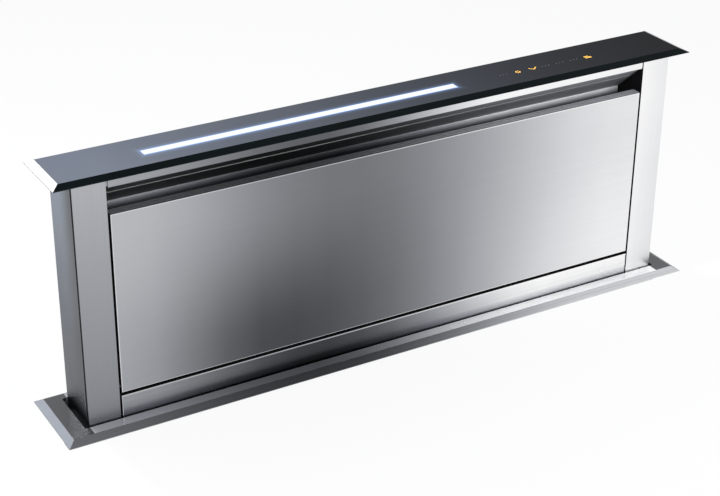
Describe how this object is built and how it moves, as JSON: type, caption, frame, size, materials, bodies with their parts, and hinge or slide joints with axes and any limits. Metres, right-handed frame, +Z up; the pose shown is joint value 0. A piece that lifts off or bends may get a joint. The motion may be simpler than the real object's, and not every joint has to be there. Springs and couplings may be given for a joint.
{
  "type": "downdraft vent",
  "caption": "Slim stainless vent that rises out of a worktop behind a hob, with a black glass top, slot intake, fold-down front panel, filters and blower below.",
  "frame": {"origin": "on the worktop surface, in the middle of the rising column and of its four fixing holes", "axes": "+X along the vent, to the right seen from the hob; +Y away from the hob; +Z up out of the worktop"},
  "size_m": [0.9, 0.3072, 1.0396],
  "materials": {
    "black_glass": "polished, back painted, edges bevelled",
    "light": "satin diffuser, lit",
    "stainless": "brushed along the long side",
    "stainless_bright": "fine satin, nearly mirror",
    "galvanised": "galvanised sheet, dull",
    "dark_baffle": "satin, dark",
    "aluminium": "matt",
    "rubber_black": "matt",
    "nylon": "matt",
    "black_plastic": "fine grain",
    "grey_plastic": "fine grain",
    "circuit_board": "solder mask",
    "zinc": "zinc plated",
    "motor_steel": "semi gloss",
    "magnet": "nickel plated"
  },
  "bodies": {
    "housing": {"flange": "stainless", "flange_gasket": "rubber_black", "mounting_frame": "galvanised", "wiper_seal": "rubber_black", "neck_guides": "nylon", "casing_front": "galvanised", "casing_back": "galvanised", "casing_sides": "galvanised", "casing_base": "galvanised", "guide_masts": "galvanised", "idler_brackets": "galvanised", "lift_belts": "rubber_black", "lift_motor": "motor_steel", "shaft_bearings": "motor_steel", "limit_switches": "black_plastic", "blower_box": "galvanised", "blower_cover": "galvanised", "blower_screws": "zinc", "scroll_wrap": "galvanised", "scroll_sides": "galvanised", "fan_motor": "motor_steel", "outlet_spigot": "galvanised", "damper_pin": "zinc", "control_box": "grey_plastic", "control_cover": "grey_plastic", "control_board": "circuit_board", "cable_gland": "black_plastic", "feet": "zinc"},
    "column": {"glass_top": "black_glass", "light_board": "circuit_board", "light_diffuser": "light", "top_tray": "galvanised", "touch_board": "circuit_board", "header_rail": "stainless", "pillar_left": "stainless", "pillar_right": "stainless", "side_cover_left": "stainless", "side_cover_right": "stainless", "uprights": "dark_baffle", "rear_panel": "stainless", "bottom_rail": "stainless", "lower_tie": "galvanised", "intake_baffle": "dark_baffle", "filter_frames": "aluminium", "filter_meshes": "aluminium", "filter_handles": "aluminium", "panel_magnets": "magnet", "guide_shoes": "nylon", "belt_clamps": "black_plastic"},
    "panel": {"front_panel": "stainless_bright", "panel_back": "galvanised", "panel_pins": "zinc"},
    "lift_shaft": {"drive_shaft": "zinc", "drive_pulleys": "zinc"},
    "idler_left": {"idler_left": "zinc"},
    "idler_right": {"idler_right": "zinc"},
    "fan": {"fan_wheel": "black_plastic", "fan_shaft": "zinc"},
    "flap_front": {"damper_front": "aluminium"},
    "flap_back": {"damper_back": "aluminium"}
  },
  "joints": [
    {"name": "column_lift", "type": "slide", "parent": "housing", "child": "column", "axis": [0, 0, 1], "range_m": [-0.3125, 0]},
    {"name": "panel_tilt", "type": "hinge", "parent": "column", "child": "panel", "pos_m": [0, -0.027, 0.045], "axis": [1, 0, 0], "range_deg": [0, 70]},
    {"name": "shaft_spin", "type": "hinge", "parent": "housing", "child": "lift_shaft", "pos_m": [0, 0.0225, -0.65], "axis": [1, 0, 0], "range_deg": [-5, 2480]},
    {"name": "idler_left_spin", "type": "hinge", "parent": "housing", "child": "idler_left", "pos_m": [-0.394, 0.0225, -0.04], "axis": [1, 0, 0], "range_deg": [-5, 2480]},
    {"name": "idler_right_spin", "type": "hinge", "parent": "housing", "child": "idler_right", "pos_m": [0.394, 0.0225, -0.04], "axis": [1, 0, 0], "range_deg": [-5, 2480]},
    {"name": "fan_spin", "type": "hinge", "parent": "housing", "child": "fan", "pos_m": [0.03, -0.1185, -0.6], "axis": [0, 1, 0], "continuous": true},
    {"name": "flap_front_swing", "type": "hinge", "parent": "housing", "child": "flap_front", "pos_m": [-0.29, -0.1185, -0.535], "axis": [0, 0, 1], "range_deg": [-80, 0], "stiffness_Nm_per_rad": 0.01},
    {"name": "flap_back_swing", "type": "hinge", "parent": "housing", "child": "flap_back", "pos_m": [-0.29, -0.1185, -0.535], "axis": [0, 0, 1], "range_deg": [0, 80], "stiffness_Nm_per_rad": 0.01}
  ],
  "couplings": [
    {"joint": "shaft_spin", "follows": "column_lift", "rad_per_m": -137.93},
    {"joint": "idler_left_spin", "follows": "column_lift", "rad_per_m": -137.93},
    {"joint": "idler_right_spin", "follows": "column_lift", "rad_per_m": -137.93}
  ]
}
